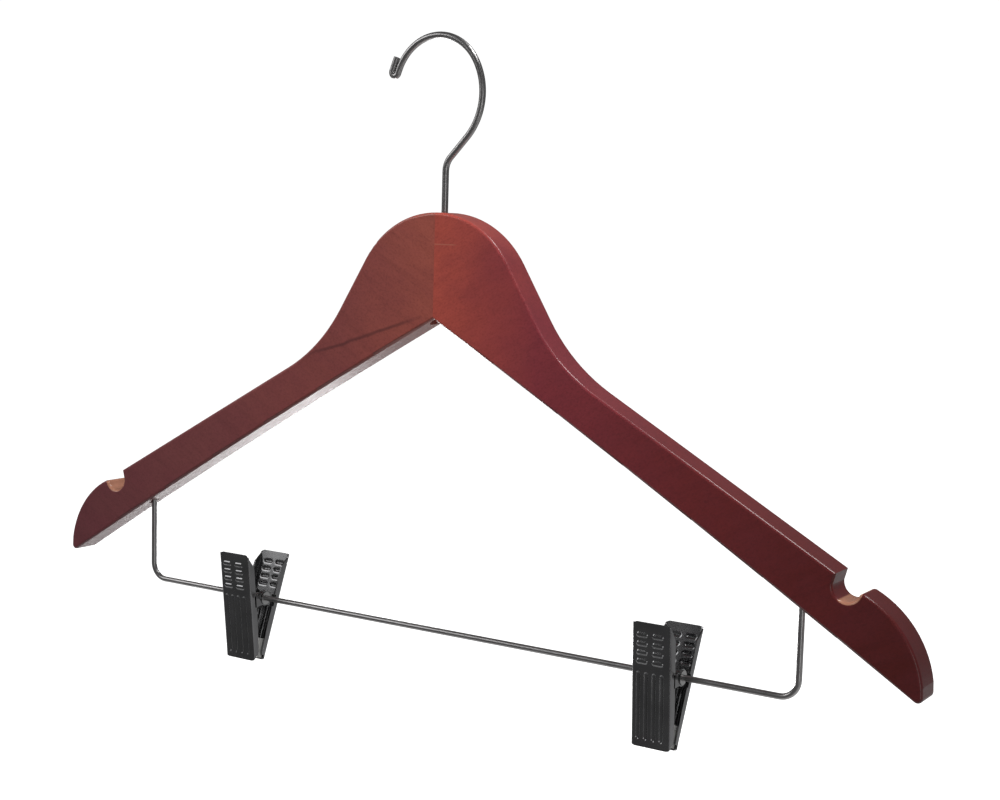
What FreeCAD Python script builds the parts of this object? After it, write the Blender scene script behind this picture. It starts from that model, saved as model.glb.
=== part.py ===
import FreeCAD, Part
import Sketcher
import math
import os

# A wooden suit hanger with a swivelling wire hook, a wire trouser bar and two sliding pinch clips.
# Millimetres. The origin is the rail seat inside the top of the hook, on the shank's axis.
# +X runs along the arms, +Y to the back and +Z up.
V = FreeCAD.Vector

SIZES = {
    # wooden body
    "half_width": 217.0,
    "body_thick": 14.0,
    "front_round": 1.2,
    "back_round": 1.6,
    "tip_round": 2.0,
    "lip_round": 1.8,
    "seat_height": 72.4,
    "crown_rise": 0.9,
    "crown_r": 42.6,
    "flank_deg": 58.5,
    "shoulder_r": 78.0,
    "arm_deg": 29.0,
    "apex_drop": 43.6,
    "tip_drop": 171.2,
    "under_arch": 1.6,
    # hook and what holds it
    "hook_wire_r": 1.4,
    "loop_r": 21.8,
    "loop_x": -5.0,
    "loop_height": 52.62,
    "loop_end_deg": 158.0,
    "loop_side_deg": 35.0,
    "loop_side_r": 26.0,
    "neck_deg": 46.0,
    "neck_bend_r": 8.5,
    "fold_lead": 1.8,
    "fold_r": 1.55,
    "tail_long": 6.0,
    "shank_hole_r": 1.45,
    "cup_r": 5.2,
    "cup_roof_drop": 34.0,
    "washer_r": 4.6,
    "washer_thick": 0.9,
    "nut_flats": 6.4,
    "nut_thick": 3.0,
    "shank_end_drop": 39.4,
    # trouser bar
    "bar_wire_r": 1.25,
    "bar_half_span": 167.2,
    "bar_drop": 178.2,
    "bar_bend_r": 7.5,
    "bar_hole_r": 1.25,
    "bar_hole_deep": 14.0,
    "bar_sink_r": 2.3,
    "bar_sink_deep": 1.0,
    # clips
    "left_clip_x": -104.8,
    "right_clip_x": 110.2,
    "left_swing": 7.0,
    "right_swing": 10.5,
    "jaw_angle": 13.3,
    "jaw_width": 17.2,
    "jaw_top": 22.9,
    "jaw_bottom": 27.6,
    "jaw_offset": 10.2,
    "jaw_sheet": 0.8,
    "jaw_corner": 2.0,
    "flange_deep": 3.2,
    "ear_half": 2.7,
    "ear_ring_r": 3.5,
    "ear_hole_r": 2.35,
    "ear_gap": 0.1,
    "bump_high": 0.5,
    "bump_long": 5.4,
    "bump_wide": 2.3,
    "bump_pitch": 3.55,
    "bump_top": 17.9,
    "groove_wide": 2.2,
    "groove_deep": 0.5,
    "groove_pitch": 3.45,
    "groove_top": 3.1,
    "groove_bottom": 25.0,
    "tube_r": 2.3,
    "tube_bore_r": 1.3,
    "tube_rim_r": 2.9,
    "tube_rim_thick": 0.4,
    "pad_top": 18.2,
    "pad_bottom": 27.0,
    "pad_half_width": 7.5,
    "pad_gap": 0.05,
    "spring_wire_r": 0.5,
    "spring_r": 3.25,
    "spring_pitch": 1.25,
    "spring_turns": 4.0,
    "spring_reach": 11.0,
}

doc = FreeCAD.newDocument("hanger")
sheet = doc.addObject("Spreadsheet::Sheet", "sizes")
for row, (alias, value) in enumerate(SIZES.items(), start=1):
    sheet.set(f"A{row}", alias)
    sheet.set(f"B{row}", str(value))
    sheet.setAlias(f"B{row}", alias)
doc.recompute()


def size(alias):
    return float(sheet.get(alias))


PARTS = []


def new_body(label):
    body = doc.addObject("PartDesign::Body", label)
    body.Label = label
    PARTS.append(body)
    return body


def new_sketch(body, role, offset=0.0):
    """A sketch on one of the body's own origin planes, moved along that plane's normal."""
    plane = next(f for f in body.Origin.OriginFeatures if f.Role == role)
    sketch = body.newObject("Sketcher::SketchObject", "sketch")
    sketch.AttachmentSupport = (plane, [""])
    sketch.MapMode = "FlatFace"
    sketch.AttachmentOffset = FreeCAD.Placement(V(0, 0, offset), FreeCAD.Rotation())
    return sketch


def add_pad(body, sketch, length, reverse=False, both=False):
    pad = body.newObject("PartDesign::Pad", "pad")
    pad.Profile = sketch
    pad.setExpression("Length", length)
    pad.Reversed = reverse
    if both:
        pad.Midplane = True
    doc.recompute()
    return pad


def add_pocket(body, sketch, length=None, reverse=False):
    """A pocket of the given length, or right through both ways, that must remove material."""
    before = body.Shape.Volume
    pocket = body.newObject("PartDesign::Pocket", "pocket")
    pocket.Profile = sketch
    pocket.Reversed = reverse
    if length is None:
        pocket.Type = "ThroughAll"
        pocket.Midplane = True
    else:
        pocket.setExpression("Length", length)
    doc.recompute()
    if body.Shape.Volume >= before - 0.01:
        raise RuntimeError(f"{body.Label}: a pocket removed nothing")
    return pocket


def line(a, b):
    return Part.LineSegment(V(a[0], a[1], 0), V(b[0], b[1], 0))


def arc(a, mid, b):
    return Part.Arc(V(a[0], a[1], 0), V(mid[0], mid[1], 0), V(b[0], b[1], 0))


def outline(points):
    """Straight edges round a closed list of points."""
    return [line(a, points[i - 1]) for i, a in enumerate(points)]


def draw(sketch, shapes):
    for shape in shapes:
        sketch.addGeometry(shape, False)
    doc.recompute()


def circle(sketch, radius, x=0.0, y=0.0):
    """A circle whose radius follows the sheet."""
    index = sketch.addGeometry(Part.Circle(V(x, y, 0), V(0, 0, 1), size(radius)), False)
    number = sketch.addConstraint(Sketcher.Constraint("Radius", index, size(radius)))
    sketch.setExpression(f"Constraints[{number}]", f"sizes.{radius}")
    doc.recompute()


def polar(centre, radius, degrees):
    angle = math.radians(degrees)
    return (centre[0] + radius * math.cos(angle), centre[1] + radius * math.sin(angle))


def turn(centre, radius, start, end):
    """An arc about a centre between two angles in degrees."""
    return arc(polar(centre, radius, start), polar(centre, radius, (start + end) / 2),
               polar(centre, radius, end))


# ---- wooden arms: each half is one board, glued to the other at the centre ----
# Distance out from the seam and height from the crown of the strap notch and the rounded end.
NOTCH_MOUTH = (182.2, -126.6)
NOTCH_WALL = (181.0, -131.0)
NOTCH_FLOOR = (185.9, -136.8)
NOTCH_LIP = (191.9, -132.2)
END_MID = (209.9, -146.6)
END_LOW = (216.7, -163.6)


def top_edge():
    """Crown arc, straight flank, hollow shoulder arc and straight arm, up to the notch."""
    crown = (0, size("crown_rise") - size("crown_r"))
    flank = size("flank_deg")
    arm = size("arm_deg")
    crown_end = polar(crown, size("crown_r"), 90 - flank)
    steep = math.tan(math.radians(flank))
    shallow = math.tan(math.radians(arm))
    x = (crown_end[1] - NOTCH_MOUTH[1] + steep * crown_end[0] - shallow * NOTCH_MOUTH[0]) / (steep - shallow)
    corner = (x, crown_end[1] - steep * (x - crown_end[0]))
    reach = size("shoulder_r") * math.tan(math.radians(flank - arm) / 2)
    hollow_start = polar(corner, -reach, -flank)
    hollow = polar(hollow_start, size("shoulder_r"), 90 - flank)
    return [
        (crown, size("crown_r"), 90, 90 - flank),
        (crown_end, hollow_start),
        (hollow, size("shoulder_r"), 270 - flank, 270 - arm),
        (polar(corner, reach, -arm), NOTCH_MOUTH),
    ]


def arm_outline(side):
    tip = (size("half_width"), -size("tip_drop"))
    apex = (0, -size("apex_drop"))
    crown = (0, size("crown_rise"))
    arch = (tip[0] / 2, (tip[1] + apex[1]) / 2 + size("under_arch"))

    def at(point):
        return (side * point[0], point[1])

    shapes = []
    for piece in top_edge():
        if len(piece) == 2:
            shapes.append(line(at(piece[0]), at(piece[1])))
        else:
            centre, radius, start, end = piece
            ends = [polar(centre, radius, angle) for angle in (start, (start + end) / 2, end)]
            shapes.append(arc(*[at(point) for point in ends]))
    return shapes + [
        line(at(NOTCH_MOUTH), at(NOTCH_WALL)),
        arc(at(NOTCH_WALL), at(NOTCH_FLOOR), at(NOTCH_LIP)),
        arc(at(NOTCH_LIP), at(END_MID), at(END_LOW)),
        line(at(END_LOW), at(tip)),
        arc(at(tip), at(arch), apex),
        line(apex, crown),
    ]


def face_edges(shape, y):
    """Names of the edges round the front or back face, but for the one on the glued seam."""
    names = []
    for number, edge in enumerate(shape.Edges, start=1):
        middle = edge.valueAt((edge.FirstParameter + edge.LastParameter) / 2)
        if edge.BoundBox.YLength < 0.01 and abs(middle.x) > 0.5 and abs(middle.y - y) < 0.01:
            names.append(f"Edge{number}")
    return names


def corner_edges(shape, points):
    """Names of the edges that run front to back through the given corners."""
    names = []
    for number, edge in enumerate(shape.Edges, start=1):
        box = edge.BoundBox
        if box.XLength > 0.01 or box.ZLength > 0.01:
            continue
        if any(abs(abs(box.XMin) - x) < 0.3 and abs(box.ZMin - z) < 0.3 for x, z in points):
            names.append(f"Edge{number}")
    return names


def add_fillet(body, base, edges, radius):
    rounded = body.newObject("PartDesign::Fillet", "rounding")
    rounded.Base = (base, edges)
    rounded.setExpression("Radius", radius)
    body.Tip = rounded
    doc.recompute()
    return rounded


def make_arm(label, side):
    body = new_body(label)
    profile = new_sketch(body, "XZ_Plane")
    draw(profile, arm_outline(side))
    pad = add_pad(body, profile, "sizes.body_thick", both=True)
    tip = (size("half_width"), -size("tip_drop"))
    shape = add_fillet(body, pad, corner_edges(pad.Shape, [tip]), "sizes.tip_round")
    shape = add_fillet(body, shape, corner_edges(shape.Shape, [NOTCH_LIP]), "sizes.lip_round")
    half = size("body_thick") / 2
    shape = add_fillet(body, shape, face_edges(shape.Shape, -half), "sizes.front_round")
    add_fillet(body, shape, face_edges(shape.Shape, half), "sizes.back_round")
    cut_shank_hole(body)
    cut_bar_hole(body, side)
    body.setExpression("Placement.Base.z", "-sizes.seat_height")


def cut_shank_hole(body):
    """The hook's hole down the seam, and the cup in the underside for its washer and nut."""
    hole = new_sketch(body, "XY_Plane", 5)
    circle(hole, "shank_hole_r")
    add_pocket(body, hole, "sizes.apex_drop + 10")
    cup = new_sketch(body, "XY_Plane", -size("cup_roof_drop"))
    circle(cup, "cup_r")
    add_pocket(body, cup, "sizes.apex_drop")


def underside_drop(x):
    """How far below the crown the arched underside lies, x from the seam."""
    part = x / size("half_width")
    chord = size("apex_drop") + (size("tip_drop") - size("apex_drop")) * part
    return chord - 4 * size("under_arch") * part * (1 - part)


def cut_bar_hole(body, side):
    x = side * size("bar_half_span")
    under = underside_drop(size("bar_half_span"))
    hole = new_sketch(body, "XY_Plane", -under + size("bar_hole_deep"))
    circle(hole, "bar_hole_r", x)
    add_pocket(body, hole, "sizes.bar_hole_deep + 12")
    sink = new_sketch(body, "XY_Plane", -under + size("bar_sink_deep"))
    circle(sink, "bar_sink_r", x)
    add_pocket(body, sink, "sizes.bar_sink_deep + 12")


# ---- wire parts: a round section swept along a centreline ----
def sweep(body, spine_role, spine_shapes, section_role, radius):
    spine = new_sketch(body, spine_role)
    draw(spine, spine_shapes)
    section = new_sketch(body, section_role)
    circle(section, radius)
    pipe = body.newObject("PartDesign::AdditivePipe", "pipe")
    pipe.Profile = section
    pipe.Spine = (spine, [f"Edge{n + 1}" for n in range(len(spine_shapes))])
    doc.recompute()
    return pipe


def hook_centreline(lift):
    """Shank, neck bend, straight neck, wide side arc, rail loop, then the wire folded back outside."""
    loop = (size("loop_x"), size("loop_height") + lift)
    top_of_side = size("loop_side_deg")
    side = polar(loop, size("loop_r") - size("loop_side_r"), top_of_side)
    neck = size("neck_deg")
    bend = size("neck_bend_r")
    neck_top = polar(side, size("loop_side_r"), neck - 90)
    corner = neck_top[1] - neck_top[0] * math.tan(math.radians(neck))
    reach = bend * math.tan(math.radians(90 - neck) / 2)
    end = size("loop_end_deg")
    loop_end = polar(loop, size("loop_r"), end)
    lead = polar(loop_end, size("fold_lead"), end + 90)
    fold = polar(lead, size("fold_r"), end)
    back = polar(fold, size("fold_r"), end)
    return [
        line((0, 0), (0, corner - reach)),
        turn((bend, corner - reach), bend, 180, 90 + neck),
        line(polar((0, corner), reach, neck), neck_top),
        turn(side, size("loop_side_r"), neck - 90, top_of_side),
        turn(loop, size("loop_r"), top_of_side, end),
        line(loop_end, lead),
        turn(fold, size("fold_r"), end + 180, end),
        line(back, polar(back, size("tail_long"), end - 90)),
    ]


def make_hook():
    """The local frame starts at the shank's lower end."""
    body = new_body("hook")
    sweep(body, "XZ_Plane", hook_centreline(size("shank_end_drop")), "XY_Plane", "hook_wire_r")
    body.setExpression("Placement.Base.z", "-sizes.seat_height - sizes.shank_end_drop")


def make_hook_washer():
    body = new_body("hook_washer")
    ring = new_sketch(body, "XY_Plane")
    circle(ring, "washer_r")
    circle(ring, "hook_wire_r")
    add_pad(body, ring, "sizes.washer_thick", reverse=True)
    body.setExpression("Placement.Base.z", "-sizes.seat_height - sizes.cup_roof_drop - 0.05")


def make_hook_nut():
    body = new_body("hook_nut")
    ring = new_sketch(body, "XY_Plane")
    corner = size("nut_flats") / math.sqrt(3)
    draw(ring, outline([(corner * math.cos(math.radians(60 * n)),
                         corner * math.sin(math.radians(60 * n))) for n in range(6)]))
    circle(ring, "hook_wire_r")
    add_pad(body, ring, "sizes.nut_thick", reverse=True)
    body.setExpression("Placement.Base.z",
                       "-sizes.seat_height - sizes.cup_roof_drop - 0.05 - sizes.washer_thick")


def make_trouser_bar():
    """The local frame starts at the left wire end, inside its drilled hole."""
    body = new_body("trouser_bar")
    half = size("bar_half_span")
    start = -underside_drop(half) + size("bar_hole_deep")
    drop = -size("bar_drop") - start
    bend = size("bar_bend_r")
    slack = bend * (1 - math.sqrt(0.5))
    span = 2 * half
    shapes = [
        line((0, 0), (0, drop + bend)),
        arc((0, drop + bend), (slack, drop + slack), (bend, drop)),
        line((bend, drop), (span - bend, drop)),
        arc((span - bend, drop), (span - slack, drop + slack), (span, drop + bend)),
        line((span, drop + bend), (span, 0)),
    ]
    sweep(body, "XZ_Plane", shapes, "XY_Plane", "bar_wire_r")
    body.Placement.Base = V(-half, 0, start - size("seat_height"))


# ---- clips: two identical stamped jaws, turned to face each other on a flanged tube ----
def slot(x0, z0, x1, z1, radius):
    """A rounded slot between two end centres, upright or level."""
    if abs(x1 - x0) < 1e-6:
        return [
            line((x0 - radius, z0), (x0 - radius, z1)),
            arc((x0 - radius, z1), (x0, z1 - radius), (x0 + radius, z1)),
            line((x0 + radius, z1), (x0 + radius, z0)),
            arc((x0 + radius, z0), (x0, z0 + radius), (x0 - radius, z0)),
        ]
    return [
        line((x0, z0 - radius), (x1, z0 - radius)),
        arc((x1, z0 - radius), (x1 + radius, z0), (x1, z0 + radius)),
        line((x1, z0 + radius), (x0, z0 + radius)),
        arc((x0, z0 + radius), (x0 - radius, z0), (x0, z0 - radius)),
    ]


def bumps(shrink):
    """Two columns of four thumb bumps."""
    radius = size("bump_wide") / 2 - shrink
    reach = (size("bump_long") - size("bump_wide")) / 2
    shapes = []
    for x in (-4.0, 2.9):
        for row in range(4):
            z = size("bump_top") - row * size("bump_pitch")
            shapes += slot(x - reach, z, x + reach, z, radius)
    return shapes


def grooves(shrink):
    """Four upright grip grooves below the thumb bumps."""
    radius = size("groove_wide") / 2 - shrink
    shapes = []
    for n in range(4):
        x = -0.6 + (n - 1.5) * size("groove_pitch")
        shapes += slot(x, size("groove_top") - size("groove_wide") / 2,
                       x, -size("groove_bottom") + size("groove_wide") / 2, radius)
    return shapes


def plate_outline():
    half = size("jaw_width") / 2
    top = size("jaw_top")
    low = -size("jaw_bottom")
    r = size("jaw_corner")
    k = r * (1 - math.sqrt(0.5))
    return [
        line((-half + r, top), (half - r, top)),
        arc((half - r, top), (half - k, top - k), (half, top - r)),
        line((half, top - r), (half, low + r)),
        arc((half, low + r), (half - k, low + k), (half - r, low)),
        line((half - r, low), (-half + r, low)),
        arc((-half + r, low), (-half + k, low + k), (-half, low + r)),
        line((-half, low + r), (-half, top - r)),
        arc((-half, top - r), (-half + k, top - k), (-half + r, top)),
    ]


def flange_outline():
    """Side flange, from the plate's fold inward: pointed at the thumb end, tapered at the mouth."""
    fold = -size("jaw_offset") + 0.05
    edge = -size("jaw_offset") + size("jaw_sheet") + size("flange_deep")
    top = size("jaw_top") - size("jaw_corner")
    low = -size("jaw_bottom") + size("jaw_corner")
    return outline([(fold, top), (edge, top - 6.5), (edge, -12.0), (edge - 0.9, low), (fold, low)])


def ear_outline():
    """The ear that reaches from the flange to the ring round the pivot tube."""
    root = -size("jaw_offset") + size("jaw_sheet") + size("flange_deep") - 0.9
    half = size("ear_half")
    ring = size("ear_ring_r")
    meet = -math.sqrt(ring ** 2 - half ** 2)
    return [line((root, -half), (root, half)), line((root, half), (meet, half)),
            arc((meet, half), (ring, 0), (meet, -half)), line((meet, -half), (root, -half))]


def make_jaw(label, clip, facing, angle):
    """facing 0 puts the plate at the front, 180 at the back."""
    body = new_body(label)
    half = size("jaw_width") / 2
    metal = size("jaw_sheet")
    outer = size("jaw_offset")
    plate = new_sketch(body, "XZ_Plane", outer)
    draw(plate, plate_outline())
    add_pad(body, plate, "sizes.jaw_sheet", reverse=True)
    for x in (half - metal, -half):
        flange = new_sketch(body, "YZ_Plane", x)
        draw(flange, flange_outline())
        add_pad(body, flange, "sizes.jaw_sheet")
    for x in (half - metal, -half + metal + size("ear_gap")):
        ear = new_sketch(body, "YZ_Plane", x)
        draw(ear, ear_outline())
        add_pad(body, ear, "sizes.jaw_sheet")
    root = -outer + metal + size("flange_deep")
    joggle = new_sketch(body, "YZ_Plane", -half)
    draw(joggle, outline([(root - 0.9, -size("ear_half")), (root, -size("ear_half")),
                          (root, size("ear_half")), (root - 0.9, size("ear_half"))]))
    add_pad(body, joggle, "2 * sizes.jaw_sheet + sizes.ear_gap")
    bore = new_sketch(body, "YZ_Plane")
    circle(bore, "ear_hole_r")
    add_pocket(body, bore)
    emboss(body, outer, metal)
    body.setExpression("Placement", "placement(vector(sizes.%s_clip_x; 0; -sizes.seat_height"
                       " - sizes.bar_drop); rotation(%d; 0; %s))" % (clip, facing, angle))


def emboss(body, outer, metal):
    """Thumb bumps stand out of the plate and grip grooves are pressed into it."""
    raised = new_sketch(body, "XZ_Plane", outer)
    draw(raised, bumps(0))
    add_pad(body, raised, "sizes.bump_high")
    hollow = new_sketch(body, "XZ_Plane", outer - metal)
    draw(hollow, bumps(0.35))
    add_pocket(body, hollow, "sizes.bump_high", reverse=True)
    pressed = new_sketch(body, "XZ_Plane", outer)
    draw(pressed, grooves(0))
    add_pocket(body, pressed, "sizes.groove_deep")
    ridge = new_sketch(body, "XZ_Plane", outer - metal)
    draw(ridge, grooves(0))
    add_pad(body, ridge, "sizes.groove_deep", reverse=True)


def make_pad(label, clip, facing, angle):
    """Soft pad in the jaw's mouth; its inner face lies on the clip's middle plane when shut."""
    body = new_body(label)
    back = -size("jaw_offset") + size("jaw_sheet") + size("groove_deep")
    slope = math.tan(math.radians(size("jaw_angle")))
    gap = size("pad_gap") / math.cos(math.radians(size("jaw_angle")))
    top = -size("pad_top")
    low = -size("pad_bottom")
    side = new_sketch(body, "YZ_Plane")
    draw(side, outline([(back, top), (top * slope - gap, top), (low * slope - gap, low), (back, low)]))
    add_pad(body, side, "2 * sizes.pad_half_width", both=True)
    body.setExpression("Placement", "placement(vector(sizes.%s_clip_x; 0; -sizes.seat_height"
                       " - sizes.bar_drop); rotation(%d; 0; %s))" % (clip, facing, angle))


def make_tube(label, clip):
    """Flanged tube that carries both jaws and slides on the bar."""
    body = new_body(label)
    half = size("jaw_width") / 2 + 0.1
    rim = half + size("tube_rim_thick")
    bore = size("tube_bore_r")
    side = new_sketch(body, "XZ_Plane")
    draw(side, outline([(-rim, bore), (-rim, size("tube_rim_r")), (-half, size("tube_rim_r")),
                        (-half, size("tube_r")), (half, size("tube_r")), (half, size("tube_rim_r")),
                        (rim, size("tube_rim_r")), (rim, bore)]))
    spin = body.newObject("PartDesign::Revolution", "spin")
    spin.Profile = side
    spin.ReferenceAxis = (side, ["H_Axis"])
    spin.Angle = 360
    doc.recompute()
    body.setExpression("Placement.Base.x", f"sizes.{clip}_clip_x")
    body.setExpression("Placement.Base.z", "-sizes.seat_height - sizes.bar_drop")


def make_spring(label, clip):
    """Torsion spring round the tube; each leg bears on the inside of one jaw's thumb end."""
    wire = size("spring_wire_r")
    coil_r = size("spring_r")
    tilt = math.radians(size("jaw_angle"))
    reach_y = size("jaw_offset") - size("jaw_sheet") - wire - 0.1
    reach_z = size("spring_reach")
    end_y = reach_y * math.cos(tilt) + reach_z * math.sin(tilt)
    end_z = -reach_y * math.sin(tilt) + reach_z * math.cos(tilt)
    far = math.hypot(end_y, end_z)
    touch = math.atan2(end_z, end_y) - math.acos(coil_r / far)
    turns = size("spring_turns") + (math.pi - 2 * touch) / (2 * math.pi)
    long = turns * size("spring_pitch")
    helix = Part.makeHelix(size("spring_pitch"), long, coil_r)
    section = Part.Wire(Part.makeCircle(wire, V(coil_r, 0, 0), V(0, 1, 0)))
    coil = Part.Wire(helix.Edges).makePipeShell([section], True, True)
    coil.rotate(V(0, 0, 0), V(0, 0, 1), math.degrees(touch))
    coil.rotate(V(0, 0, 0), V(1, 1, 1), 120)
    coil.translate(V(-long / 2, 0, 0))
    shape = coil
    for side in (1, -1):
        root = V(-side * long / 2, side * coil_r * math.cos(touch), coil_r * math.sin(touch))
        tip = V(-side * long / 2, side * end_y, end_z)
        leg = Part.makeCylinder(wire, (tip - root).Length, root, tip - root)
        knee = Part.makeSphere(wire, root)
        shape = shape.fuse([leg, knee])
    spring = doc.addObject("Part::Feature", label)
    spring.Label = label
    spring.Shape = shape.removeSplitter()
    spring.Placement = FreeCAD.Placement(
        V(size(f"{clip}_clip_x"), 0, -size("seat_height") - size("bar_drop")),
        FreeCAD.Rotation(V(1, 0, 0), -size(f"{clip}_swing")))
    PARTS.append(spring)


make_arm("left_arm", -1)
make_arm("right_arm", 1)
make_hook()
make_hook_washer()
make_hook_nut()
make_trouser_bar()
for clip in ("left", "right"):
    front = f"sizes.jaw_angle - sizes.{clip}_swing"
    rear = f"sizes.jaw_angle + sizes.{clip}_swing"
    make_tube(f"{clip}_pivot_tube", clip)
    make_jaw(f"{clip}_front_jaw", clip, 0, front)
    make_jaw(f"{clip}_back_jaw", clip, 180, rear)
    make_pad(f"{clip}_front_pad", clip, 0, front)
    make_pad(f"{clip}_back_pad", clip, 180, rear)
    make_spring(f"{clip}_spring", clip)
doc.recompute()

os.makedirs("parts", exist_ok=True)
for part in PARTS:
    bad = {"Invalid", "Error"} & set(part.State)
    if bad or part.Shape.isNull() or not part.Shape.isValid():
        raise RuntimeError(f"{part.Label} did not build: {part.State}")
    part.Shape.exportStep(f"parts/{part.Label}.step")
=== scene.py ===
import math

import bmesh
import bpy
from mathutils import Matrix, Vector


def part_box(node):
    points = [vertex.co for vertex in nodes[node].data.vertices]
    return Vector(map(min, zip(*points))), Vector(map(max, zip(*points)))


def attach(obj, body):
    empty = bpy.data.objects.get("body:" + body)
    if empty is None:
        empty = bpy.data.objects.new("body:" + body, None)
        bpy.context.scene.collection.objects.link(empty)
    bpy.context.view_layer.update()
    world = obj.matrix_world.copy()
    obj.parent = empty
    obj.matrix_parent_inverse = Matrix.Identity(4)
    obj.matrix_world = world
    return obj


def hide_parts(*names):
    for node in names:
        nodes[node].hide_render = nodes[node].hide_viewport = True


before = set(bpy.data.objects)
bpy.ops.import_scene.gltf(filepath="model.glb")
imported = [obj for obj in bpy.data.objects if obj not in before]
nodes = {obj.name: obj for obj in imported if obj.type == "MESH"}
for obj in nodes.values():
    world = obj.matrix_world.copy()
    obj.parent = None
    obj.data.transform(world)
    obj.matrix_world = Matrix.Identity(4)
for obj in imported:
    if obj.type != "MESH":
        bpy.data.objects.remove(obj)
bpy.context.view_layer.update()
MM = 0.001
SEAT = 72.4          # the origin above the body's zero level, 0.9 mm under the top of the wood, in mm
scene = bpy.context.scene

# camera, in millimetres and degrees
CAMERA_PLACE = (398.01, -569.52, -3.114 - SEAT)
CAMERA_YAW = 32.861
CAMERA_DOWN = 6.116
CAMERA_ROLL = 1.551
CAMERA_LENS = 59.179
SENSOR_WIDTH = 36

# floor and world: both are brighter to the camera than to the object
FLOOR_HALF = (2.2, 1.3)
FLOOR_PLACE = (0, 1.18, -0.42)
FLOOR_GREY = 0.6
FLOOR_GLOW = 1.0
WORLD_SEEN = 1.05
WORLD_ROOM = 0.13

# name, place, aimed at, size (all in metres), watts, seen in reflections
LIGHTS = (
    ("key", (-0.30, -0.52, 0.42), (-0.03, 0, -0.11), (0.25, 0.20), 4.0, False),
    ("upper_left", (-0.95, -0.70, 0.45), (-0.05, 0, -0.15), (0.8, 0.5), 3.0, True),
    ("right_front", (0.95, -0.85, -0.25), (0.0, 0, -0.2), (0.30, 0.7), 1.2, True),
    ("top", (0.45, 0.12, 0.95), (0.08, 0, -0.15), (0.9, 0.15), 6.0, True),
    ("top_soft", (0.55, -0.12, 0.80), (0.10, 0, -0.15), (0.6, 0.3), 5.5, False),
    ("under", (-0.40, 0.40, -0.40), (-0.12, 0, -0.18), (0.22, 0.34), 2.8, True),
)

# wood, in millimetres unless the name says otherwise
ARM_SLOPE = 29.5               # degrees below level, which the grain follows
TONE_SPAN = 220                # distance from the seam that the tones are spread over
TONE_DRIFT = 30                # how far the tones wander
GRAIN_CELL = (35, 4, 2.8)      # along the arm, through the board, across the arm; so are the next two
FLECK_CELL = (1.1, 0.8, 0.7)
PURPLE_CELL = (16, 12, 10)
NOTCH_X = 187.0                # a little outside and below the centre of the strap notch
NOTCH_Z = -131.8 - SEAT
NOTCH_REACH = 5.9
NOTCH_SOFT = 4                 # scale of the fade from stained to unstained wood
VEIN_X = -48
VEIN_Z = -56.9 - SEAT
VEIN_RISE = 0.333              # upwards for each step towards the seam
VEIN_MIDDLE = -38
SCRATCH_X = 5.0
SCRATCH_Z = -12.3 - SEAT
PURPLE = (0.125, 0.022, 0.034)
RAW_DARK = (0.28, 0.12, 0.075)
RAW_PALE = (0.42, 0.19, 0.12)
VEIN_BROWN = (0.035, 0.010, 0.012)
SCRATCH_PINK = (0.42, 0.15, 0.10)

# (distance from the seam in mm, colour): darker towards the ends as painted shade where the light
# falls off; the right board is the redder, and the left board's greyer cast is partly its own tone
# and partly painted sheen
LEFT_TONES_AND_SHADE = (
    (0, (0.30, 0.07, 0.05)), (50, (0.21, 0.05, 0.045)),
    (120, (0.17, 0.045, 0.045)), (210, (0.12, 0.03, 0.035)))
RIGHT_TONES_AND_SHADE = (
    (0, (0.38, 0.065, 0.045)), (50, (0.22, 0.03, 0.04)),
    (120, (0.15, 0.018, 0.02)), (210, (0.08, 0.007, 0.006)))


# ---------------------------------------------------------------- camera, floor and light
def add_camera():
    yaw = math.radians(CAMERA_YAW)
    down = math.radians(CAMERA_DOWN)
    roll = math.radians(CAMERA_ROLL)
    level = Vector((math.sin(yaw), -math.cos(yaw), 0))
    back = level * math.cos(down) + Vector((0, 0, math.sin(down)))
    right = Vector((math.cos(yaw), math.sin(yaw), 0))
    up = back.cross(right)
    tilted_right = math.cos(roll) * right + math.sin(roll) * up
    tilted_up = -math.sin(roll) * right + math.cos(roll) * up
    cam = bpy.data.objects.new("camera", bpy.data.cameras.new("camera"))
    scene.collection.objects.link(cam)
    turn = Matrix((tilted_right, tilted_up, back)).transposed().to_4x4()
    cam.matrix_world = Matrix.Translation(Vector(CAMERA_PLACE) * MM) @ turn
    cam.data.sensor_width = SENSOR_WIDTH
    cam.data.lens = CAMERA_LENS
    cam.data.clip_start = 0.01
    scene.camera = cam


def new_material(name):
    mat = bpy.data.materials.new(name)
    mat.use_nodes = True
    tree = mat.node_tree
    tree.nodes.clear()
    return mat, tree


def new_mesh_object(name, bm):
    mesh = bpy.data.meshes.new(name)
    bm.to_mesh(mesh)
    bm.free()
    obj = bpy.data.objects.new(name, mesh)
    scene.collection.objects.link(obj)
    return obj


def mix_for_camera(tree, others, camera, out):
    """Camera rays get one shader, and all other rays the other."""
    path = tree.nodes.new("ShaderNodeLightPath")
    mix = tree.nodes.new("ShaderNodeMixShader")
    tree.links.new(path.outputs["Is Camera Ray"], mix.inputs[0])
    tree.links.new(others, mix.inputs[1])
    tree.links.new(camera, mix.inputs[2])
    tree.links.new(mix.outputs[0], out.inputs[0])


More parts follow.
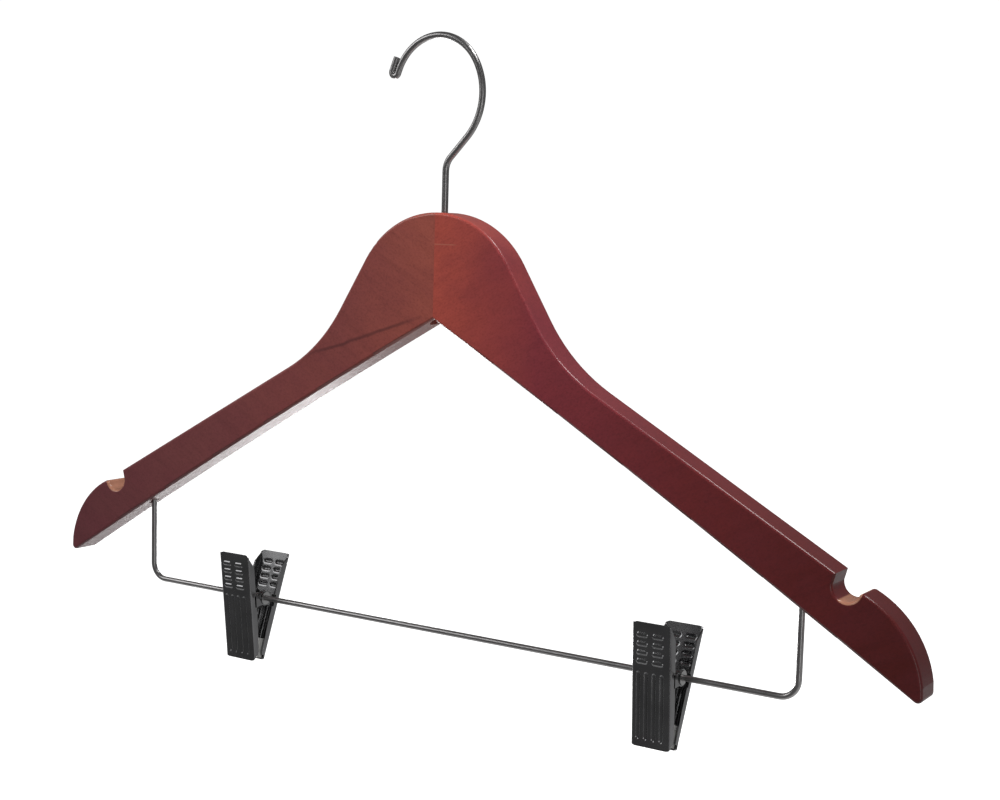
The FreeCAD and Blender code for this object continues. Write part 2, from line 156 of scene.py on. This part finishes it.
def add_floor():
    """Plain floor from a little in front of the object backwards. Its glow is for the camera only."""
    bm = bmesh.new()
    bmesh.ops.create_grid(bm, x_segments=1, y_segments=1, size=1)
    floor = new_mesh_object("floor", bm)
    floor.scale = (*FLOOR_HALF, 1)
    floor.location = FLOOR_PLACE
    mat, tree = new_material("floor_white")
    bsdf = tree.nodes.new("ShaderNodeBsdfPrincipled")
    bsdf.inputs["Base Color"].default_value = (FLOOR_GREY, FLOOR_GREY, FLOOR_GREY, 1)
    bsdf.inputs["Roughness"].default_value = 0.9
    glow = tree.nodes.new("ShaderNodeEmission")
    glow.inputs["Color"].default_value = (1, 1, 1, 1)
    glow.inputs["Strength"].default_value = FLOOR_GLOW
    both = tree.nodes.new("ShaderNodeAddShader")
    out = tree.nodes.new("ShaderNodeOutputMaterial")
    tree.links.new(bsdf.outputs[0], both.inputs[0])
    tree.links.new(glow.outputs[0], both.inputs[1])
    mix_for_camera(tree, bsdf.outputs[0], both.outputs[0], out)
    floor.data.materials.append(mat)


def add_world():
    """White behind the object, and a dim room for what the object reflects."""
    world = bpy.data.worlds.new("studio")
    scene.world = world
    world.use_nodes = True
    tree = world.node_tree
    tree.nodes.clear()
    shades = []
    for strength in (WORLD_ROOM, WORLD_SEEN):
        shade = tree.nodes.new("ShaderNodeBackground")
        shade.inputs["Color"].default_value = (1, 1, 1, 1)
        shade.inputs["Strength"].default_value = strength
        shades.append(shade.outputs[0])
    mix_for_camera(tree, *shades, tree.nodes.new("ShaderNodeOutputWorld"))


def add_area(name, place, target, size, power, in_reflections):
    """Rectangular lamp that the camera doesn't see."""
    light = bpy.data.lights.new(name, "AREA")
    light.shape = "RECTANGLE"
    light.size, light.size_y = size
    light.energy = power
    obj = bpy.data.objects.new(name, light)
    obj.location = place
    obj.rotation_mode = "QUATERNION"
    obj.rotation_quaternion = (Vector(target) - Vector(place)).to_track_quat("-Z", "Y")
    obj.visible_camera = False
    obj.visible_glossy = in_reflections
    scene.collection.objects.link(obj)


# ---------------------------------------------------------------- material helpers
class Tree:
    """Short calls for building a node tree."""

    def __init__(self, name):
        self.mat, self.tree = new_material(name)
        self.bsdf = self.node("BsdfPrincipled")
        out = self.node("OutputMaterial")
        self.link(self.bsdf.outputs[0], out.inputs[0])
        self.coords = self.node("TexCoord").outputs["Object"]

    def node(self, kind, **props):
        item = self.tree.nodes.new("ShaderNode" + kind)
        for key, value in props.items():
            setattr(item, key, value)
        return item

    def link(self, a, b):
        self.tree.links.new(a, b)

    def put(self, socket, value):
        if hasattr(value, "links"):
            self.link(value, socket)
        else:
            socket.default_value = value

    def math(self, op, a, b=0.0):
        item = self.node("Math", operation=op)
        self.put(item.inputs[0], a)
        self.put(item.inputs[1], b)
        return item.outputs[0]

    def add(self, a, b):
        return self.math("ADD", a, b)

    def subtract(self, a, b):
        return self.math("SUBTRACT", a, b)

    def times(self, a, b):
        return self.math("MULTIPLY", a, b)

    def over(self, a, b):
        return self.math("DIVIDE", a, b)

    def mapped(self, scale, turn=(0, 0, 0), move=(0, 0, 0)):
        """Object coordinates turned and moved, then stretched."""
        first = self.node("Mapping")
        self.link(self.coords, first.inputs["Vector"])
        first.inputs["Rotation"].default_value = turn
        first.inputs["Location"].default_value = move
        second = self.node("Mapping")
        self.link(first.outputs[0], second.inputs["Vector"])
        second.inputs["Scale"].default_value = scale
        return second.outputs[0]

    def scaled(self, vector, scale):
        item = self.node("Mapping")
        self.link(vector, item.inputs["Vector"])
        item.inputs["Scale"].default_value = scale
        return item.outputs[0]

    def noise(self, vector, detail=3.0, rough=0.5, distort=0.0):
        item = self.node("TexNoise")
        self.link(vector, item.inputs["Vector"])
        item.inputs["Scale"].default_value = 1.0
        item.inputs["Detail"].default_value = detail
        item.inputs["Roughness"].default_value = rough
        item.inputs["Distortion"].default_value = distort
        return item.outputs["Fac"]

    def cloud(self, per_metre, detail):
        """Even noise with so many cells to the metre."""
        return self.noise(self.mapped((per_metre,) * 3), detail)

    def wander(self, per_metre, reach):
        """Even noise as a distance, about reach wide and centred on 0."""
        return self.times(self.subtract(self.cloud(per_metre, 2.0), 0.5), reach)

    def ramp(self, value, stops):
        item = self.node("ValToRGB")
        self.link(value, item.inputs[0])
        ramp = item.color_ramp
        while len(ramp.elements) < len(stops):
            ramp.elements.new(0.5)
        for element, (place, colour) in zip(ramp.elements, stops):
            element.position = place
            if not isinstance(colour, tuple):
                colour = (colour,) * 3
            element.color = (*colour, 1)
        return item.outputs[0]

    def mix(self, factor, a, b, blend="MIX"):
        item = self.node("Mix", data_type="RGBA", blend_type=blend)
        self.put(item.inputs[0], factor)
        for socket, value in ((item.inputs[6], a), (item.inputs[7], b)):
            if isinstance(value, tuple):
                value = (*value, 1)
            self.put(socket, value)
        return item.outputs[2]

    def bump(self, height, strength, distance):
        item = self.node("Bump")
        item.inputs["Strength"].default_value = strength
        item.inputs["Distance"].default_value = distance
        self.link(height, item.inputs["Height"])
        return item.outputs[0]

    def setting(self, name, value):
        self.put(self.bsdf.inputs[name], value)


def cells(lengths):
    """Cells to the metre for cells of these lengths in millimetres."""
    return tuple(1 / (length * MM) for length in lengths)


def wood(name, side, tones):
    """Stained and lacquered beech; side is -1 for the left board and 1 for the right."""
    t = Tree(name)
    split = t.node("SeparateXYZ")
    t.link(t.coords, split.inputs[0])
    x, _, z = split.outputs
    out = t.times(x, float(side))
    # the tone ramp along the arm holds painted shade darkening towards the ends, and on the left
    # board a partly painted grey sheen
    place = t.over(t.add(out, t.wander(30, TONE_DRIFT * MM)), TONE_SPAN * MM)
    base = t.ramp(place, [(mm / TONE_SPAN, colour) for mm, colour in tones])
    # the shift gives each board a grain of its own
    turned = t.mapped((1, 1, 1), turn=(0, math.radians(ARM_SLOPE) * side, 0), move=(0.4 * side, 0, 0))
    grain = t.noise(t.scaled(turned, cells(GRAIN_CELL)), 4.0, 0.6, 0.4)
    fleck = t.noise(t.scaled(turned, cells(FLECK_CELL)), 2.0, 0.6)
    purple = t.noise(t.scaled(turned, cells(PURPLE_CELL)), 3.0, 0.55)
    base = t.mix(t.ramp(purple, [(0.40, 0.0), (0.66, 0.18)]), base, PURPLE)
    base = t.mix(1.0, base, t.ramp(grain, [(0.30, 0.92), (0.5, 1.0), (0.7, 1.03)]), "MULTIPLY")
    base = t.mix(1.0, base, t.ramp(fleck, [(0.30, 0.82), (0.48, 1.0), (0.7, 1.08)]), "MULTIPLY")
    if side < 0:
        base = dark_vein(t, base, x, z)
    else:
        base = scratch(t, base, x, z)
    base = t.mix(raw_floor(t, out, z), base, t.mix(grain, RAW_DARK, RAW_PALE))
    t.setting("Base Color", base)
    t.setting("Roughness", t.ramp(grain, [(0.3, 0.36), (0.7, 0.44)]))
    t.setting("Specular IOR Level", 0.38)
    t.setting("Coat Weight", 0.42)
    t.setting("Coat Roughness", 0.09)
    t.setting("Normal", t.bump(grain, 0.05, 0.3 * MM))
    return t.mat


def raw_floor(t, out, z):
    """1 on the strap notch's floor and lip side, which show unstained wood."""
    dx = t.subtract(out, NOTCH_X * MM)
    dz = t.subtract(z, NOTCH_Z * MM)
    far = t.math("SQRT", t.add(t.times(dx, dx), t.times(dz, dz)))
    inside = t.math("LESS_THAN", far, NOTCH_REACH * MM)
    outer = t.subtract(t.times(dx, 0.8), dz)
    return t.times(inside, t.ramp(t.over(outer, NOTCH_SOFT * MM), [(0.3, 0.0), (0.5, 1.0)]))


def band(t, value, half_width, soft):
    """1 where value is near 0, falling to 0 beyond half_width."""
    reach = half_width + soft
    far = t.math("ABSOLUTE", value)
    return t.ramp(t.over(far, reach), [(half_width / reach, 1.0), (1.0, 0.0)])


def dark_vein(t, base, x, z):
    """One dark grain line on the left board, rising towards the apex."""
    rise = t.times(t.subtract(x, VEIN_X * MM), VEIN_RISE)
    line = t.subtract(t.subtract(z, VEIN_Z * MM), rise)
    across = band(t, t.add(line, t.wander(60, 3 * MM)), 0.25 * MM, 0.8 * MM)
    along = band(t, t.subtract(x, VEIN_MIDDLE * MM), 20 * MM, 14 * MM)
    return t.mix(t.times(t.times(across, along), 0.5), base, VEIN_BROWN)


def scratch(t, base, x, z):
    """A short pale scratch beside the seam on the right board."""
    across = band(t, t.subtract(z, SCRATCH_Z * MM), 0.10 * MM, 0.25 * MM)
    along = band(t, t.subtract(x, SCRATCH_X * MM), 4.5 * MM, 2 * MM)
    return t.mix(t.times(t.times(across, along), 0.5), base, SCRATCH_PINK)


def metal(name, colour, rough):
    """Plated steel, a little cloudy."""
    t = Tree(name)
    patch = t.cloud(90, 3.0)
    dark = tuple(c * 0.8 for c in colour)
    t.setting("Base Color", t.mix(t.ramp(patch, [(0.35, 0.0), (0.7, 1.0)]), dark, colour))
    t.setting("Metallic", 1.0)
    t.setting("Roughness", t.ramp(patch, [(0.3, rough), (0.7, rough + 0.05)]))
    return t.mat


def vinyl(name):
    """Cloudy, half-clear vinyl."""
    t = Tree(name)
    cloud = t.cloud(400, 3.0)
    t.setting("Base Color", t.mix(cloud, (0.50, 0.50, 0.48), (0.72, 0.72, 0.70)))
    t.setting("Roughness", t.ramp(cloud, [(0.3, 0.25), (0.7, 0.4)]))
    t.setting("Transmission Weight", 0.45)
    t.setting("IOR", 1.48)
    t.setting("Normal", t.bump(cloud, 0.05, 0.3 * MM))
    return t.mat


def give(node, mat):
    obj = nodes[node]
    if not obj.material_slots:
        obj.data.materials.append(mat)
    for item in obj.material_slots:
        item.material = mat


# ---------------------------------------------------------------- pressed-steel clip jaws
# Local millimetres: origin on the pivot axis, the plate's outer face towards -Y, thumb end up.
PLATE_HALF = 8.6
PLATE_FACE = -10.2
PLATE_TOP = 22.9
PLATE_LOW = -27.6
SHEET = 0.8
CORNER = 2.0             # radius of the plate's corners
FOLD = 1.0               # outer radius of the fold to the flange
FLANGE = 4.0             # deepest flange, from the plate's face
FLANGE_START = 6.5       # this far below the top, the flange reaches its full depth
FLANGE_THIN = -12.0      # below this the flange gets shallower
FLANGE_LOSS = 0.9
FOOT_ROUND = 0.8
FLAT_HALF = PLATE_HALF - FOLD
FOLD_END = FLAT_HALF + FOLD * math.pi / 2
CORNER_CUT = FOLD_END - FLAT_HALF + 0.7      # what a corner takes off the blank's half width
FOOT = PLATE_LOW + CORNER

PRESS_DEPTH = 0.5        # of the bumps and the grooves
BUMP_COLUMNS = (-4.0, 2.9)
BUMP_ROWS = 4
BUMP_TOP = 17.9
BUMP_STEP = 3.55
BUMP_HALF = 1.55         # half the straight part of a bump
BUMP_EDGE = (0.45, 1.2)  # distances from its middle line over which a bump falls away
GROOVES = 4
GROOVE_MIDDLE = -0.6
GROOVE_STEP = 3.45
GROOVE_TOP = 2.0
GROOVE_LOW = -23.9
GROOVE_EDGE = (0.35, 1.1)

EAR_HALF = 2.7           # half the width of the ear's tab
EAR_TAB = 0.9            # how far the tab runs into the flange
RING_OUT = 3.5
RING_IN = 2.35
EAR_GAP = 0.1            # between the ears of the two jaws, side by side on the tube
EAR_STEPS = 72
JAW_ANGLE = 13.3         # of each jaw to the clip's middle plane

# mesh columns across the flat of the plate and across each edge, and rows up it
FLAT_COLUMNS = 72
EDGE_COLUMNS = 8
ROWS = 190
EDGE_LEAST = 0.08        # narrowest edge strip

# degrees that each clip hangs out of plumb
CLIP_SWING = {"left": 7.0, "right": 10.5}


def ramp_between(value, low, high):
    """0 below low, 1 above high, smooth between."""
    t = min(max((value - low) / (high - low), 0.0), 1.0)
    return t * t * (3 - 2 * t)


def round_off(t):
    """Quarter circle: 0 at t = 0, and 1 at t = 1."""
    return 1 - math.sqrt(max(1 - t * t, 0))


def developed_half(z):
    """Half width of the flat blank at height z."""
    full = FOLD_END + FLANGE - FOLD
    if z > PLATE_TOP - CORNER:
        t = (z - PLATE_TOP + CORNER) / CORNER
        return FOLD_END - CORNER_CUT * round_off(t)
    if z > PLATE_TOP - FLANGE_START:
        t = (PLATE_TOP - CORNER - z) / (FLANGE_START - CORNER)
        return FOLD_END + (full - FOLD_END) * t
    if z > FLANGE_THIN:
        return full
    shallow = full - FLANGE_LOSS * (z - FLANGE_THIN) / (FOOT - FLANGE_THIN)
    if z > FOOT + FOOT_ROUND:
        return shallow
    if z > FOOT:
        t = (FOOT + FOOT_ROUND - z) / FOOT_ROUND
        return shallow - (shallow - FOLD_END) * round_off(t)
    t = (FOOT - z) / CORNER
    return FOLD_END - CORNER_CUT * round_off(t)


def pressed(x, z):
    """How far the plate stands out at a point: thumb bumps out, grip grooves in."""
    height = 0.0
    for centre in BUMP_COLUMNS:
        for row in range(BUMP_ROWS):
            dx = max(abs(x - centre) - BUMP_HALF, 0)
            dz = z - (BUMP_TOP - row * BUMP_STEP)
            bump = PRESS_DEPTH * (1 - ramp_between(math.hypot(dx, dz), *BUMP_EDGE))
            height = max(height, bump)
    for n in range(GROOVES):
        dx = x - GROOVE_MIDDLE - (n - (GROOVES - 1) / 2) * GROOVE_STEP
        dz = max(z - GROOVE_TOP, GROOVE_LOW - z, 0)
        height -= PRESS_DEPTH * (1 - ramp_between(math.hypot(dx, dz), *GROOVE_EDGE))
    return height


def on_section(s, z):
    """Place across and through the clip of the outer face, s along the blank from its middle."""
    side = 1 if s > 0 else -1
    s = abs(s)
    if s <= FLAT_HALF:
        return side * s, PLATE_FACE - pressed(side * s, z)
    if s <= FOLD_END:
        a = (s - FLAT_HALF) / FOLD
        return side * (FLAT_HALF + FOLD * math.sin(a)), PLATE_FACE + FOLD * (1 - math.cos(a))
    return side * PLATE_HALF, PLATE_FACE + FOLD + s - FOLD_END


def jaw_sheet(bm):
    """The U-section plate with its pressings, as one surface with thickness."""
    flat = [-FLAT_HALF + i * 2 * FLAT_HALF / FLAT_COLUMNS for i in range(FLAT_COLUMNS + 1)]
    edge = [i / EDGE_COLUMNS for i in range(1, EDGE_COLUMNS + 1)]
    grid = []
    for k in range(ROWS + 1):
        z = PLATE_LOW + (PLATE_TOP - PLATE_LOW) * k / ROWS
        half = developed_half(z)
        inner = min(FLAT_HALF, half - EDGE_LEAST)
        across = [-inner - f * (half - inner) for f in reversed(edge)]
        across += [s * inner / FLAT_HALF for s in flat]
        across += [inner + f * (half - inner) for f in edge]
        line = []
        for s in across:
            x, y = on_section(s, z)
            line.append(bm.verts.new((x, y, z)))
        grid.append(line)
    for low, high in zip(grid, grid[1:]):
        for i in range(len(low) - 1):
            bm.faces.new((low[i], low[i + 1], high[i + 1], high[i]))
    bmesh.ops.recalc_face_normals(bm, faces=bm.faces)
    # the outer face has to look towards -Y, so that solidify thickens the sheet inwards
    front = sum((f.normal.y for f in bm.faces if abs(f.calc_center_median().x) < 5), 0.0)
    if front > 0:
        bmesh.ops.reverse_faces(bm, faces=bm.faces)
    bmesh.ops.solidify(bm, geom=bm.faces, thickness=SHEET)


def ear(bm, x0, x1):
    """Ring round the tube with a tab to the flange, from x0 to x1."""
    tab = -PLATE_FACE - FLANGE + EAR_TAB
    rings = []
    for x in (x0, x1):
        inner, outer = [], []
        for i in range(EAR_STEPS):
            a = 2 * math.pi * i / EAR_STEPS
            y, z = math.cos(a), math.sin(a)
            reach = RING_OUT
            if y < 0:
                reach = max(reach, min(EAR_HALF / max(abs(z), 1e-6), tab / -y))
            inner.append(bm.verts.new((x, RING_IN * y, RING_IN * z)))
            outer.append(bm.verts.new((x, reach * y, reach * z)))
        rings.append((inner, outer))
    (in0, out0), (in1, out1) = rings
    for i in range(EAR_STEPS):
        j = (i + 1) % EAR_STEPS
        bm.faces.new((in0[i], in0[j], out0[j], out0[i]))
        bm.faces.new((in1[i], out1[i], out1[j], in1[j]))
        bm.faces.new((out0[i], out0[j], out1[j], out1[i]))
        bm.faces.new((in0[i], in1[i], in1[j], in0[j]))


def make_jaw_mesh():
    """One jaw: one ear in line with its flange, and one set inwards beside the other jaw's ear."""
    bm = bmesh.new()
    jaw_sheet(bm)
    ear(bm, PLATE_HALF - SHEET, PLATE_HALF)
    ear(bm, -PLATE_HALF + SHEET + EAR_GAP, -PLATE_HALF + 2 * SHEET + EAR_GAP)
    step_low = (-PLATE_HALF, PLATE_FACE + FLANGE - EAR_TAB, -EAR_HALF)
    step_size = (2 * SHEET + EAR_GAP, EAR_TAB, 2 * EAR_HALF)
    for v in bmesh.ops.create_cube(bm, size=1)["verts"]:
        v.co = Vector([low + (c + 0.5) * size for low, c, size in zip(step_low, v.co, step_size)])
    for f in bm.faces:
        f.smooth = True
    mesh = bpy.data.meshes.new("jaw")
    bm.to_mesh(mesh)
    bm.free()
    return mesh


def add_jaw(clip, face, mesh, mat):
    """The jaw with rounded pressings and folds, in place of the square-edged one of the CAD."""
    low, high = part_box(f"{clip}_pivot_tube")
    pivot = (Vector(low) + Vector(high)) / 2
    facing = 0 if face == "front" else math.pi
    swing = -CLIP_SWING[clip] if face == "front" else CLIP_SWING[clip]
    place = Matrix.Translation(pivot)
    place = place @ Matrix.Rotation(facing, 4, "Z")
    place = place @ Matrix.Rotation(math.radians(JAW_ANGLE + swing), 4, "X")
    data = mesh.copy()
    data.transform(place @ Matrix.Scale(MM, 4))
    data.set_sharp_from_angle(angle=math.radians(50))
    data.materials.append(mat)
    obj = bpy.data.objects.new(f"{clip}_{face}_pressed_jaw", data)
    scene.collection.objects.link(obj)
    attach(obj, f"{clip}_{face}_jaw")
    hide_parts(f"{clip}_{face}_jaw")


add_camera()
add_floor()
add_world()
for light in LIGHTS:
    add_area(*light)
scene.view_settings.view_transform = "Standard"

give("left_arm", wood("wood_left", -1, LEFT_TONES_AND_SHADE))
give("right_arm", wood("wood_right", 1, RIGHT_TONES_AND_SHADE))
wire = metal("wire_nickel", (0.46, 0.45, 0.45), 0.30)
clip_steel = metal("clip_nickel", (0.24, 0.24, 0.245), 0.16)
bright = metal("bright_plate", (0.45, 0.45, 0.45), 0.18)
give("hook", wire)
give("trouser_bar", wire)
for name in ("hook_washer", "hook_nut"):
    give(name, bright)
pad = vinyl("clear_vinyl")
jaw_mesh = make_jaw_mesh()
for clip in ("left", "right"):
    give(f"{clip}_pivot_tube", bright)
    give(f"{clip}_spring", bright)
    for face in ("front", "back"):
        add_jaw(clip, face, jaw_mesh, clip_steel)
        give(f"{clip}_{face}_pad", pad)
